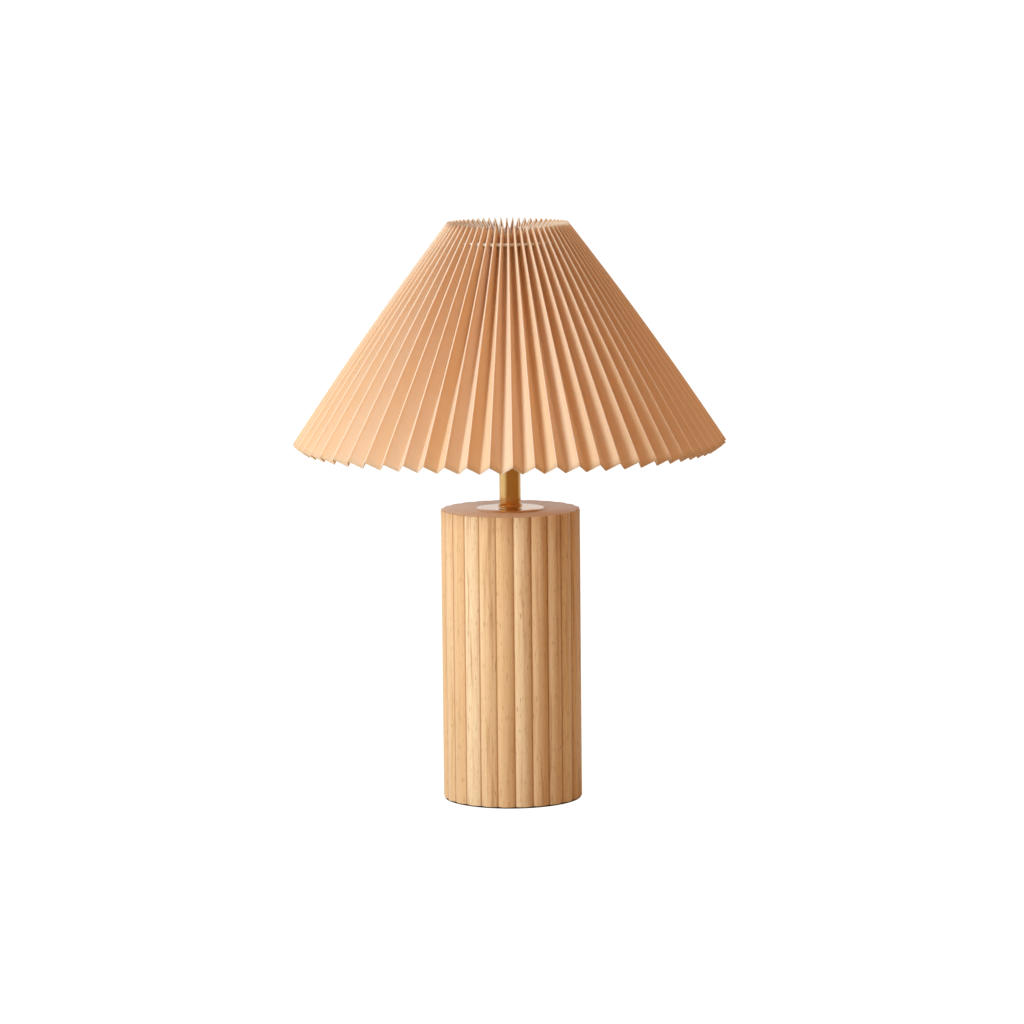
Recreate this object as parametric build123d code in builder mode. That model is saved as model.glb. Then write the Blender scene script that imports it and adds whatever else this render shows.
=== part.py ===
from build123d import *
import os
from math import atan2, cos, hypot, radians, sin, sqrt, tan

# Pleated paper table lamp: a reeded wood column with a brass stem, a screw-in lamp holder,
# and a pleated paper shade that a drawstring gathers over a wire frame.
# Millimetres. +Z is up, the origin is the centre of the underside, and -Y is the front.

os.makedirs("parts", exist_ok=True)

# ---------------------------------------------------------------- driving dimensions

seat_gap = 0.3  # between a piece and what carries it on another body
thread_gap = 0.05  # radial, between a thread and the hole it turns in
bore_gap = 0.25  # radial, round a rod that passes through a plain hole
weld_gap = 0.05  # between two wires that are welded end to side
front_azimuth = -90.0

# foot pad
pad_radius = 59.0
pad_thickness = 1.0

# reeded column
column_height = 250.0
reed_crest_radius = 60.0
reed_groove_radius = 58.0
reed_count = 24
rim_chamfer = 0.5
recess_radius = 28.0
recess_depth = 30.0

# cord inlet at the back of the column
inlet_height = 15.0  # above the underside of the column
inlet_bore_radius = 3.25
inlet_hole_radius = 4.0
gland_body_radius = 5.0
gland_body_length = 10.0
gland_flange_radius = 7.0
gland_flange_thickness = 1.6

# through rod and its fasteners
rod_radius = 5.0
rod_wall = 1.0
rod_tail = 4.0  # thread that shows below the nut
washer_radius = 18.0
washer_thickness = 2.0
lock_washer_radius = 8.5
lock_washer_thickness = 1.0
lock_washer_teeth = 10
lock_tooth_radius = 0.8
nut_across_flats = 17.0
nut_height = 6.0

# brass on the column
disc_radius = 28.9
disc_thickness = 1.2
disc_edge_radius = 0.4
stem_radius = 9.15
stem_wall = 1.0
stem_length = 86.4
bead_radius = 10.4
bead_height = 2.0
bead_foot_radius = 9.7
bead_foot_height = 0.6
collar_height = 3.4
spigot_length = 4.0
cap_plate_radius = 10.6
cap_plate_thickness = 2.5

# lamp holder
holder_neck_radius = 9.0
holder_neck_height = 5.0
holder_cup_radius = 18.8
holder_cup_rise = 12.0  # height at which the cup has its full radius
cup_bulge_out = 0.7  # share of the cup's widening at the middle of its curve
cup_bulge_up = 0.3  # share of the curve's rise at the same point
holder_cup_height = 24.0
core_radius = 16.5
core_ledge_height = 13.0  # ledge that carries the ceramic core
core_height = 14.0
terminal_well_radius = 14.5
terminal_well_floor = 9.0
holder_seat_height = 32.5  # shoulder that carries the shade
shoulder_radius = 22.5
shoulder_thickness = 2.5
sleeve_radius = 19.75
sleeve_height = 20.0  # threaded sleeve above the shoulder
sleeve_lip_radius = 14.9
sleeve_lip_height = 1.5
shell_inner_radius = 13.65
shell_wall = 0.45
shell_opening_radius = 8.0
contact_width = 6.0
contact_thickness = 0.5
contact_reach = 5.5
terminal_spacing = 19.0
terminal_head_radius = 2.7
terminal_head_height = 1.8
terminal_shank_radius = 1.5
terminal_shank_length = 7.0
grub_radius = 2.0
grub_height = 2.6

# ring nut that clamps the shade
ring_nut_radius = 26.0
ring_nut_height = 9.0
ring_nut_flange_radius = 28.5
ring_nut_flange_height = 2.0
ring_nut_grips = 16
ring_nut_grip_radius = 1.2

# wire frame of the shade
wire_radius = 1.5
fitter_inner_radius = 20.7
fitter_outer_radius = 31.0
fitter_thickness = 1.2
arm_overlap = 5.0  # of each arm under the fitter ring
upright_count = 4
top_ring_drop = 28.0  # below the top of the shade
bottom_ring_rise = 12.0  # above the bottom of the shade

# pleated paper
shade_top_radius = 51.8
shade_bottom_radius = 186.0
shade_height = 189.0
shade_top_above_seat = 121.2
shade_bow = 2.1  # how far the outer folds curve out of a straight line at mid-length
pleat_count = 62
pleat_width = 14.0  # from an outer fold to the next inner fold, the same all the way down
pleat_steps = 4  # flat stretches that follow the twist of each pleat
paper_thickness = 0.4

# drawstring
string_radius = 1.1
string_ring_radius = 54.0
string_drop = 15.6  # below the top of the shade
punch_radius = 1.6
punch_sides = 6

# bulb
bulb_radius = 30.0
bulb_top_drop = 20.0  # below the top of the shade
bulb_cap_radius = 13.25
bulb_cap_overlap = 16.0  # of the screw cap in the threaded sleeve
bulb_rim_gap = 1.8  # between the holder's rim and the body of the bulb
bulb_neck_radius = 13.9
bulb_body_height = 37.0
bulb_flare = 0.62  # share of the body's widening at half its height
insulator_height = 3.5
tip_radius = 4.6
tip_height = 2.0

# ---------------------------------------------------------------- heights worked out

column_top = pad_thickness + column_height
recess_top = pad_thickness + recess_depth
washer_bottom = recess_top - washer_thickness
lock_washer_bottom = washer_bottom - lock_washer_thickness
nut_bottom = lock_washer_bottom - nut_height
rod_bottom = nut_bottom - rod_tail
disc_top = column_top + disc_thickness
collar_top = disc_top + collar_height
stem_top = collar_top + stem_length
holder_base = stem_top + cap_plate_thickness
ledge_height = holder_base + core_ledge_height
core_top = ledge_height + core_height
seat_height = holder_base + holder_seat_height
rim_height = seat_height + sleeve_height
rod_top = holder_base + terminal_well_floor
fitter_bottom = seat_height + seat_gap
fitter_top = fitter_bottom + fitter_thickness
ring_nut_bottom = fitter_top + seat_gap
shade_top = seat_height + shade_top_above_seat
shade_bottom = shade_top - shade_height
bulb_top = shade_top - bulb_top_drop
bulb_body_bottom = rim_height + bulb_rim_gap
bulb_body_top = bulb_body_bottom + bulb_body_height
cap_bottom = rim_height - bulb_cap_overlap
insulator_bottom = cap_bottom - insulator_height
tip_bottom = insulator_bottom - tip_height

# ---------------------------------------------------------------- foot pad

with BuildPart() as foot_pad:
    with BuildSketch():
        Circle(pad_radius)
    extrude(amount=pad_thickness)

foot_pad.part.label = "foot_pad"
export_step(foot_pad.part, "parts/foot_pad.step")

# ---------------------------------------------------------------- reeded column

reed_angle = 360.0 / reed_count
column_base = Plane.XY.offset(pad_thickness)
column_back = Plane(
    origin=(0, reed_groove_radius, pad_thickness + inlet_height),
    x_dir=(1, 0, 0),
    z_dir=(0, 1, 0),
)

with BuildPart() as wood_column:
    with BuildSketch(column_base):
        with BuildLine():
            for reed in range(reed_count):
                crest = front_azimuth + reed * reed_angle
                ThreePointArc(
                    Vector(reed_groove_radius, 0).rotate(Axis.Z, crest - reed_angle / 2),
                    Vector(reed_crest_radius, 0).rotate(Axis.Z, crest),
                    Vector(reed_groove_radius, 0).rotate(Axis.Z, crest + reed_angle / 2),
                )
        make_face()
    extrude(amount=column_height)
    chamfer(wood_column.edges().group_by(Axis.Z)[0] + wood_column.edges().group_by(Axis.Z)[-1], rim_chamfer)
    with BuildSketch(column_base):
        Circle(rod_radius + bore_gap)
    extrude(amount=column_height, mode=Mode.SUBTRACT)
    with BuildSketch(column_base):
        Circle(recess_radius)
    extrude(amount=recess_depth, mode=Mode.SUBTRACT)
    # the cord hole runs from a flat at the back into the recess, and the gland lines its mouth
    with BuildSketch(column_back):
        Circle(gland_flange_radius + bore_gap)
    extrude(amount=reed_crest_radius - reed_groove_radius, mode=Mode.SUBTRACT)
    with BuildSketch(column_back):
        Circle(gland_body_radius)
    extrude(amount=-gland_body_length, mode=Mode.SUBTRACT)
    with BuildSketch(column_back):
        Circle(inlet_hole_radius)
    extrude(amount=-reed_groove_radius, mode=Mode.SUBTRACT)

wood_column.part.label = "wood_column"
export_step(wood_column.part, "parts/wood_column.step")

# ---------------------------------------------------------------- cord gland

with BuildPart() as cord_gland:
    with BuildSketch(column_back):
        Circle(gland_flange_radius)
        Circle(inlet_bore_radius, mode=Mode.SUBTRACT)
    extrude(amount=gland_flange_thickness)
    fillet(
        cord_gland.edges().filter_by(GeomType.CIRCLE).group_by(Axis.Y)[-1],
        radius=gland_flange_thickness / 3,
    )
    with BuildSketch(column_back):
        Circle(gland_body_radius)
        Circle(inlet_bore_radius, mode=Mode.SUBTRACT)
    extrude(amount=-gland_body_length)

cord_gland.part.label = "cord_gland"
export_step(cord_gland.part, "parts/cord_gland.step")

# ---------------------------------------------------------------- rod, nut and washers

with BuildPart() as threaded_rod:
    with BuildSketch(Plane.XY.offset(rod_bottom)):
        Circle(rod_radius)
        Circle(rod_radius - rod_wall, mode=Mode.SUBTRACT)
    extrude(amount=rod_top - rod_bottom)

threaded_rod.part.label = "threaded_rod"
export_step(threaded_rod.part, "parts/threaded_rod.step")

with BuildPart() as bottom_washer:
    with BuildSketch(Plane.XY.offset(washer_bottom)):
        Circle(washer_radius)
        Circle(rod_radius + bore_gap, mode=Mode.SUBTRACT)
    extrude(amount=washer_thickness)

bottom_washer.part.label = "bottom_washer"
export_step(bottom_washer.part, "parts/bottom_washer.step")

with BuildPart() as lock_washer:
    with BuildSketch(Plane.XY.offset(lock_washer_bottom)):
        Circle(lock_washer_radius)
        with PolarLocations(lock_washer_radius, lock_washer_teeth):
            Circle(lock_tooth_radius, mode=Mode.SUBTRACT)
        Circle(rod_radius + bore_gap, mode=Mode.SUBTRACT)
    extrude(amount=lock_washer_thickness)

lock_washer.part.label = "lock_washer"
export_step(lock_washer.part, "parts/lock_washer.step")

with BuildPart() as bottom_nut:
    with BuildSketch(Plane.XY.offset(nut_bottom)):
        RegularPolygon(nut_across_flats / 2, 6, major_radius=False)
        Circle(rod_radius + thread_gap, mode=Mode.SUBTRACT)
    extrude(amount=nut_height)

bottom_nut.part.label = "bottom_nut"
export_step(bottom_nut.part, "parts/bottom_nut.step")

# ---------------------------------------------------------------- brass disc and stem

with BuildPart() as top_disc:
    with BuildSketch(Plane.XY.offset(column_top)):
        Circle(disc_radius)
        Circle(rod_radius + bore_gap, mode=Mode.SUBTRACT)
    extrude(amount=disc_thickness)
    fillet(top_disc.edges().group_by(Axis.Z)[-1].sort_by(SortBy.RADIUS)[-1], disc_edge_radius)

top_disc.part.label = "top_disc"
export_step(top_disc.part, "parts/top_disc.step")

spigot_radius = stem_radius - stem_wall - thread_gap
bead_top = bead_foot_height + bead_height

with BuildPart() as stem_collar:
    with BuildSketch(Plane.XZ):
        with BuildLine():
            bore_foot = (rod_radius + bore_gap, disc_top)
            bead_start = (bead_foot_radius, disc_top + bead_foot_height)
            bead_end = (bead_foot_radius, disc_top + bead_top)
            tube_edge = (stem_radius, collar_top)
            Polyline(bore_foot, (bead_foot_radius, disc_top), bead_start)
            ThreePointArc(
                bead_start,
                (bead_radius, disc_top + bead_foot_height + bead_height / 2),
                bead_end,
            )
            Line(bead_end, tube_edge)
            Polyline(
                tube_edge,
                (spigot_radius, collar_top),
                (spigot_radius, collar_top + spigot_length),
                (rod_radius + bore_gap, collar_top + spigot_length),
                bore_foot,
            )
        make_face()
    revolve(axis=Axis.Z)

stem_collar.part.label = "stem_collar"
export_step(stem_collar.part, "parts/stem_collar.step")

with BuildPart() as stem_tube:
    with BuildSketch(Plane.XY.offset(collar_top)):
        Circle(stem_radius)
        Circle(stem_radius - stem_wall, mode=Mode.SUBTRACT)
    extrude(amount=stem_length)

stem_tube.part.label = "stem_tube"
export_step(stem_tube.part, "parts/stem_tube.step")

with BuildPart() as stem_cap:
    with BuildSketch(Plane.XY.offset(stem_top)):
        Circle(cap_plate_radius)
    extrude(amount=cap_plate_thickness)
    fillet(stem_cap.edges().group_by(Axis.Z)[-1], cap_plate_thickness / 3)
    with BuildSketch(Plane.XY.offset(stem_top)):
        Circle(spigot_radius)
    extrude(amount=-spigot_length)
    with BuildSketch(Plane.XY.offset(stem_top - spigot_length)):
        Circle(rod_radius + thread_gap)
    extrude(amount=spigot_length + cap_plate_thickness, mode=Mode.SUBTRACT)

stem_cap.part.label = "stem_cap"
export_step(stem_cap.part, "parts/stem_cap.step")

# ---------------------------------------------------------------- lamp holder

grub_axis = Plane(
    origin=(0, 0, holder_base + holder_neck_height / 2), x_dir=(0, 1, 0), z_dir=(1, 0, 0)
)
neck_top = (holder_neck_radius, holder_base + holder_neck_height)
cup_side = (holder_cup_radius, holder_base + holder_cup_rise)
cup_bulge = (
    holder_neck_radius + cup_bulge_out * (holder_cup_radius - holder_neck_radius),
    holder_base + holder_neck_height + cup_bulge_up * (holder_cup_rise - holder_neck_height),
)

with BuildPart() as holder_cap:
    with BuildSketch(Plane.XZ):
        with BuildLine():
            thread_radius = rod_radius + thread_gap
            cup_rim = holder_base + holder_cup_height
            Polyline((thread_radius, holder_base), (holder_neck_radius, holder_base), neck_top)
            ThreePointArc(neck_top, cup_bulge, cup_side)
            Polyline(
                cup_side,
                (holder_cup_radius, cup_rim),
                (core_radius, cup_rim),
                (core_radius, ledge_height),
                (terminal_well_radius, ledge_height),
                (terminal_well_radius, holder_base + terminal_well_floor),
                (thread_radius, holder_base + terminal_well_floor),
                (thread_radius, holder_base),
            )
        make_face()
    revolve(axis=Axis.Z)
    with BuildSketch(grub_axis):
        Circle(grub_radius)
    extrude(amount=holder_neck_radius, mode=Mode.SUBTRACT)

holder_cap.part.label = "holder_cap"
export_step(holder_cap.part, "parts/holder_cap.step")

with BuildPart() as grub_screw:
    with BuildSketch(grub_axis.offset(rod_radius + thread_gap)):
        Circle(grub_radius - thread_gap)
    extrude(amount=grub_height)

grub_screw.part.label = "grub_screw"
export_step(grub_screw.part, "parts/grub_screw.step")

with BuildPart() as holder_core:
    with BuildSketch(Plane.XY.offset(ledge_height)):
        Circle(core_radius - thread_gap)
        with GridLocations(0, terminal_spacing, 1, 2):
            Circle(terminal_shank_radius, mode=Mode.SUBTRACT)
    extrude(amount=core_height)

holder_core.part.label = "holder_core"
export_step(holder_core.part, "parts/holder_core.step")

with BuildPart() as terminal_screws:
    with BuildSketch(Plane.XY.offset(ledge_height)):
        with GridLocations(0, terminal_spacing, 1, 2):
            Circle(terminal_head_radius)
    extrude(amount=-terminal_head_height)
    with BuildSketch(Plane.XY.offset(ledge_height)):
        with GridLocations(0, terminal_spacing, 1, 2):
            Circle(terminal_shank_radius - thread_gap)
    extrude(amount=terminal_shank_length)

terminal_screws.part.label = "terminal_screws"
export_step(terminal_screws.part, "parts/terminal_screws.step")

with BuildPart() as holder_shell:
    with BuildSketch(Plane.XZ):
        with BuildLine():
            Polyline(
                (core_radius, cup_rim),
                (holder_cup_radius, cup_rim),
                (holder_cup_radius, seat_height - shoulder_thickness),
                (shoulder_radius, seat_height - shoulder_thickness),
                (shoulder_radius, seat_height),
                (sleeve_radius, seat_height),
                (sleeve_radius, rim_height),
                (sleeve_lip_radius, rim_height),
                (sleeve_lip_radius, rim_height - sleeve_lip_height),
                (core_radius, rim_height - sleeve_lip_height),
                close=True,
            )
        make_face()
    revolve(axis=Axis.Z)

holder_shell.part.label = "holder_shell"
export_step(holder_shell.part, "parts/holder_shell.step")

shell_outer_radius = shell_inner_radius + shell_wall

with BuildPart() as socket_shell:
    with BuildSketch(Plane.XZ):
        with BuildLine():
            Polyline(
                (shell_opening_radius, core_top),
                (shell_outer_radius, core_top),
                (shell_outer_radius, rim_height - sleeve_lip_height),
                (shell_inner_radius, rim_height - sleeve_lip_height),
                (shell_inner_radius, core_top + shell_wall),
                (shell_opening_radius, core_top + shell_wall),
                close=True,
            )
        make_face()
    revolve(axis=Axis.Z)

socket_shell.part.label = "socket_shell"
export_step(socket_shell.part, "parts/socket_shell.step")

# the centre line of the bent strip: its crown ends a small gap below the tip of the bulb
contact_foot = core_top + contact_thickness / 2
contact_crown = tip_bottom - seat_gap - contact_thickness / 2

with BuildPart() as centre_contact:
    with BuildSketch(Plane.XZ):
        with BuildLine():
            Polyline(
                (-contact_reach, contact_foot),
                (contact_reach, contact_foot),
                (0, contact_crown),
                (-contact_reach / 2, contact_crown),
            )
        trace(line_width=contact_thickness)
    extrude(amount=contact_width / 2, both=True)

centre_contact.part.label = "centre_contact"
export_step(centre_contact.part, "parts/centre_contact.step")

# ---------------------------------------------------------------- ring nut of the shade

with BuildPart() as shade_ring:
    with BuildSketch(Plane.XY.offset(ring_nut_bottom)):
        Circle(ring_nut_flange_radius)
    extrude(amount=ring_nut_flange_height)
    with BuildSketch(Plane.XY.offset(ring_nut_bottom)):
        Circle(ring_nut_radius)
        with PolarLocations(ring_nut_radius, ring_nut_grips):
            Circle(ring_nut_grip_radius)
    extrude(amount=ring_nut_height)
    with BuildSketch(Plane.XY.offset(ring_nut_bottom)):
        Circle(sleeve_radius + thread_gap)
    extrude(amount=ring_nut_height, mode=Mode.SUBTRACT)

shade_ring.part.label = "shade_ring"
export_step(shade_ring.part, "parts/shade_ring.step")

# ---------------------------------------------------------------- pleat geometry

pleat_angle = 360.0 / pleat_count
fold_spread = tan(radians(pleat_angle / 2))
shade_slope = atan2(shade_bottom_radius - shade_top_radius, shade_height)


def pleat_depth(ridge_radius):
    """Depth of a pleat square to its folds, where the paper between two folds has its width."""
    square = 1 + (cos(shade_slope) * fold_spread) ** 2
    middle = ridge_radius * cos(shade_slope) * fold_spread**2
    short = (ridge_radius * fold_spread) ** 2 - pleat_width**2
    return (middle + sqrt(middle**2 - square * short)) / square


def fold_mitre(ridge_radius):
    """Thickness of the paper through a fold, square to the fold."""
    depth = pleat_depth(ridge_radius)
    half_width = (ridge_radius - depth * cos(shade_slope)) * fold_spread
    return paper_thickness / sin(atan2(half_width, depth))


def below_ridge(share, depth):
    """Radius and height of the point this deep under the outer fold, at a share of its length."""
    ridge_radius = shade_top_radius + share * (shade_bottom_radius - shade_top_radius)
    out = 4 * shade_bow * share * (1 - share) - depth
    return (
        ridge_radius + out * cos(shade_slope),
        shade_top - share * shade_height + out * sin(shade_slope),
    )


def half_section(share):
    """Corners of half a pleat at a share of its length, from the outer fold round the paper."""
    ridge = below_ridge(share, 0)
    depth = pleat_depth(ridge[0])
    mitre = fold_mitre(ridge[0])
    notch = below_ridge(share, depth)
    root = below_ridge(share, depth + mitre)
    crook = below_ridge(share, mitre)
    return [
        Vector(ridge[0], 0, ridge[1]),
        Vector(notch[0], notch[0] * fold_spread, notch[1]),
        Vector(root[0], root[0] * fold_spread, root[1]),
        Vector(crook[0], 0, crook[1]),
    ]


def flat_face(*corners):
    """One flat face through its corners."""
    return Face(Wire.make_polygon(corners, close=True))


def half_pleat_faces(upper, lower):
    """Faces of half a pleat between two sections: outside, inside and the side at the fold."""
    return [
        flat_face(upper[0], lower[0], upper[1]),
        flat_face(lower[0], lower[1], upper[1]),
        flat_face(upper[3], lower[3], upper[2]),
        flat_face(lower[3], lower[2], upper[2]),
        flat_face(upper[1], lower[1], lower[2], upper[2]),
    ]


def end_face(section):
    """The cut edge of a whole pleat."""
    ridge, notch, root, crook = section
    return flat_face(
        ridge, notch, root, crook, Vector(root.X, -root.Y, root.Z), Vector(notch.X, -notch.Y, notch.Z)
    )


def on_the_fold(face):
    """Whether a face lies in the plane where one pleat meets the next."""
    centre = face.center()
    return abs(abs(centre.Y) - centre.X * fold_spread) < paper_thickness / 100


# ---------------------------------------------------------------- pleated paper

sections = [half_section(step / pleat_steps) for step in range(pleat_steps + 1)]
half_faces = []
for upper_section, lower_section in zip(sections, sections[1:]):
    half_faces += half_pleat_faces(upper_section, lower_section)
pleat_faces = half_faces + [face.mirror(Plane.XZ) for face in half_faces]
pleat_faces += [end_face(sections[0]), end_face(sections[-1])]

string_height = shade_top - string_drop
string_plane = Plane(
    origin=(string_ring_radius, 0, string_height), x_dir=(1, 0, 0), z_dir=(0, 1, 0)
)

with BuildPart() as single_pleat:
    add(Solid(Shell(pleat_faces)))
    with BuildSketch(string_plane):
        RegularPolygon(punch_radius, punch_sides)
    extrude(amount=string_ring_radius * fold_spread, both=True, mode=Mode.SUBTRACT)

paper_faces = [face for face in single_pleat.faces() if not on_the_fold(face)]

with BuildPart() as shade_pleats:
    add(
        Solid(
            Shell(
                face.rotate(Axis.Z, front_azimuth + pleat * pleat_angle)
                for pleat in range(pleat_count)
                for face in paper_faces
            )
        )
    )

shade_pleats.part.label = "shade_pleats"
export_step(shade_pleats.part, "parts/shade_pleats.step")

# ---------------------------------------------------------------- drawstring

with BuildPart() as shade_string:
    with BuildSketch(Plane.XZ):
        with Locations((string_ring_radius, string_height)):
            Circle(string_radius)
    revolve(axis=Axis.Z)

shade_string.part.label = "shade_string"
export_step(shade_string.part, "parts/shade_string.step")

# ---------------------------------------------------------------- wire frame of the shade

# the rings touch the inner folds but for a small gap, and the uprights run straight between them


def wire_in_fold(height):
    """Radius of a ring of wire that lies against the inner folds at a height."""
    upper, lower = next(
        (upper[2], lower[2]) for upper, lower in zip(sections, sections[1:]) if lower[2].Z <= height
    )
    lean = atan2(lower.X - upper.X, upper.Z - lower.Z)
    return upper.X + (upper.Z - height) * tan(lean) - (seat_gap + wire_radius) / cos(lean)


def upright_azimuth(number):
    """Azimuth of the inner fold that lies nearest to an even spacing."""
    pleats = round((number + 0.5) * pleat_count / upright_count - 0.5)
    return front_azimuth + (pleats + 0.5) * pleat_angle


top_ring_height = shade_top - top_ring_drop
top_ring_radius = wire_in_fold(top_ring_height)
bottom_ring_height = shade_bottom + bottom_ring_rise
bottom_ring_radius = wire_in_fold(bottom_ring_height)
arm_height = fitter_bottom - wire_radius
upright_reach = hypot(bottom_ring_radius - top_ring_radius, top_ring_height - bottom_ring_height)
upright_lean = (bottom_ring_radius - top_ring_radius) / upright_reach
upright_fall = (top_ring_height - bottom_ring_height) / upright_reach
arm_end_radius = top_ring_radius + (top_ring_height - arm_height) * upright_lean / upright_fall

with BuildPart() as fitter_ring:
    with BuildSketch(Plane.XY.offset(fitter_bottom)):
        Circle(fitter_outer_radius)
        Circle(fitter_inner_radius, mode=Mode.SUBTRACT)
    extrude(amount=fitter_thickness)

fitter_ring.part.label = "fitter_ring"
export_step(fitter_ring.part, "parts/fitter_ring.step")

with BuildPart() as frame_top_ring:
    with BuildSketch(Plane.XZ):
        with Locations((top_ring_radius, top_ring_height)):
            Circle(wire_radius)
    revolve(axis=Axis.Z)

frame_top_ring.part.label = "frame_top_ring"
export_step(frame_top_ring.part, "parts/frame_top_ring.step")

with BuildPart() as frame_bottom_ring:
    with BuildSketch(Plane.XZ):
        with Locations((bottom_ring_radius, bottom_ring_height)):
            Circle(wire_radius)
    revolve(axis=Axis.Z)

frame_bottom_ring.part.label = "frame_bottom_ring"
export_step(frame_bottom_ring.part, "parts/frame_bottom_ring.step")

for number in range(upright_count):
    outwards = Vector(1, 0).rotate(Axis.Z, upright_azimuth(number))
    sideways = Vector(0, 1).rotate(Axis.Z, upright_azimuth(number))
    down_the_fold = outwards * upright_lean - Vector(0, 0, upright_fall)
    upright_start = outwards * top_ring_radius + Vector(0, 0, top_ring_height)
    upright_plane = Plane(origin=upright_start, x_dir=sideways, z_dir=down_the_fold)
    arm_start = outwards * (fitter_outer_radius - arm_overlap) + Vector(0, 0, arm_height)
    arm_length = arm_end_radius - fitter_outer_radius + arm_overlap

    with BuildPart() as frame_upright:
        with BuildSketch(upright_plane.offset(wire_radius + weld_gap)):
            Circle(wire_radius)
        extrude(amount=upright_reach - 2 * (wire_radius + weld_gap))

    frame_upright.part.label = f"frame_upright_{number + 1}"
    export_step(frame_upright.part, f"parts/frame_upright_{number + 1}.step")

    # the outer end of each arm is coped to fit round the upright
    with BuildPart() as frame_arm:
        with BuildSketch(Plane(origin=arm_start, x_dir=sideways, z_dir=outwards)):
            Circle(wire_radius)
        extrude(amount=arm_length)
        with BuildSketch(upright_plane):
            Circle(wire_radius + weld_gap)
        extrude(amount=upright_reach, mode=Mode.SUBTRACT)

    frame_arm.part.label = f"frame_arm_{number + 1}"
    export_step(frame_arm.part, f"parts/frame_arm_{number + 1}.step")

# ---------------------------------------------------------------- bulb

with BuildPart() as bulb_globe:
    with BuildSketch(Plane.XZ):
        with BuildLine():
            globe_edge = (bulb_radius, bulb_body_top)
            globe_shoulder = (bulb_radius, bulb_top - bulb_radius)
            globe_top = (0, bulb_top)
            Line((0, bulb_body_top), globe_edge)
            Line(globe_edge, globe_shoulder)
            RadiusArc(globe_shoulder, globe_top, -bulb_radius)
            Line(globe_top, (0, bulb_body_top))
        make_face()
    revolve(axis=Axis.Z)

bulb_globe.part.label = "bulb_globe"
export_step(bulb_globe.part, "parts/bulb_globe.step")

with BuildPart() as bulb_housing:
    with BuildSketch(Plane.XZ):
        with BuildLine():
            neck = (bulb_neck_radius, bulb_body_bottom)
            flare = (
                bulb_neck_radius + bulb_flare * (bulb_radius - bulb_neck_radius),
                bulb_body_bottom + bulb_body_height / 2,
            )
            Line((0, bulb_body_bottom), neck)
            ThreePointArc(neck, flare, (bulb_radius, bulb_body_top))
            Polyline((bulb_radius, bulb_body_top), (0, bulb_body_top), (0, bulb_body_bottom))
        make_face()
    revolve(axis=Axis.Z)

bulb_housing.part.label = "bulb_housing"
export_step(bulb_housing.part, "parts/bulb_housing.step")

with BuildPart() as bulb_cap:
    with BuildSketch(Plane.XY.offset(cap_bottom)):
        Circle(bulb_cap_radius)
    extrude(amount=bulb_body_bottom - cap_bottom)

bulb_cap.part.label = "bulb_cap"
export_step(bulb_cap.part, "parts/bulb_cap.step")

with BuildPart() as bulb_insulator:
    with BuildSketch(Plane.XZ):
        with BuildLine():
            Polyline(
                (0, insulator_bottom),
                (tip_radius, insulator_bottom),
                (bulb_cap_radius, cap_bottom),
                (0, cap_bottom),
                close=True,
            )
        make_face()
    revolve(axis=Axis.Z)

bulb_insulator.part.label = "bulb_insulator"
export_step(bulb_insulator.part, "parts/bulb_insulator.step")

with BuildPart() as bulb_contact:
    with BuildSketch(Plane.XY.offset(tip_bottom)):
        Circle(tip_radius)
    extrude(amount=tip_height)
    fillet(bulb_contact.edges().group_by(Axis.Z)[0], tip_height / 2)

bulb_contact.part.label = "bulb_contact"
export_step(bulb_contact.part, "parts/bulb_contact.step")
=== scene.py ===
"""Visual model of a pleated paper table lamp over its CAD frame. Metres, +Z up, front at -Y."""

import logging
import math
import random
from dataclasses import dataclass, field
from enum import Enum

import bmesh
import bpy
from mathutils import Matrix, Vector, noise


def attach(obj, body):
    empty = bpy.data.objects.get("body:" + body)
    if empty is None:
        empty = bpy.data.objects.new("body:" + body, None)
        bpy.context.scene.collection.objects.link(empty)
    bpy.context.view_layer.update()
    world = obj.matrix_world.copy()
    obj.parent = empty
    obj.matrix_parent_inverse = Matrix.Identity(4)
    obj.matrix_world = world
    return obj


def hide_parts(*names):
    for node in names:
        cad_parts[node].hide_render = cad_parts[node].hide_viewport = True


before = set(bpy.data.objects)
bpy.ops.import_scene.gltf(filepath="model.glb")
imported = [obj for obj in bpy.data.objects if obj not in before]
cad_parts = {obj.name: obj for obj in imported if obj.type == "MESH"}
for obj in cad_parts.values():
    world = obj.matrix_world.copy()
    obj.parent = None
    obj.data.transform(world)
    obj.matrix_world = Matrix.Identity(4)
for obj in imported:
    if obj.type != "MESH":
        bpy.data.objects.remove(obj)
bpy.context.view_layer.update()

log = logging.getLogger("lamp")
Triple = tuple[float, float, float]
Colour = Triple
Point = tuple[float, float]
BMesh = bmesh.types.BMesh
Material = bpy.types.Material
Socket = bpy.types.NodeSocket
FRONT_AZIMUTH = -math.pi / 2
WHITE: Colour = (1.0, 1.0, 1.0)


class Body(Enum):
    """The bodies of the CAD model that the rebuilt pieces ride on."""

    STAND = "stand"
    SHADE = "shade"
    BULB = "bulb"


# ---- materials


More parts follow.
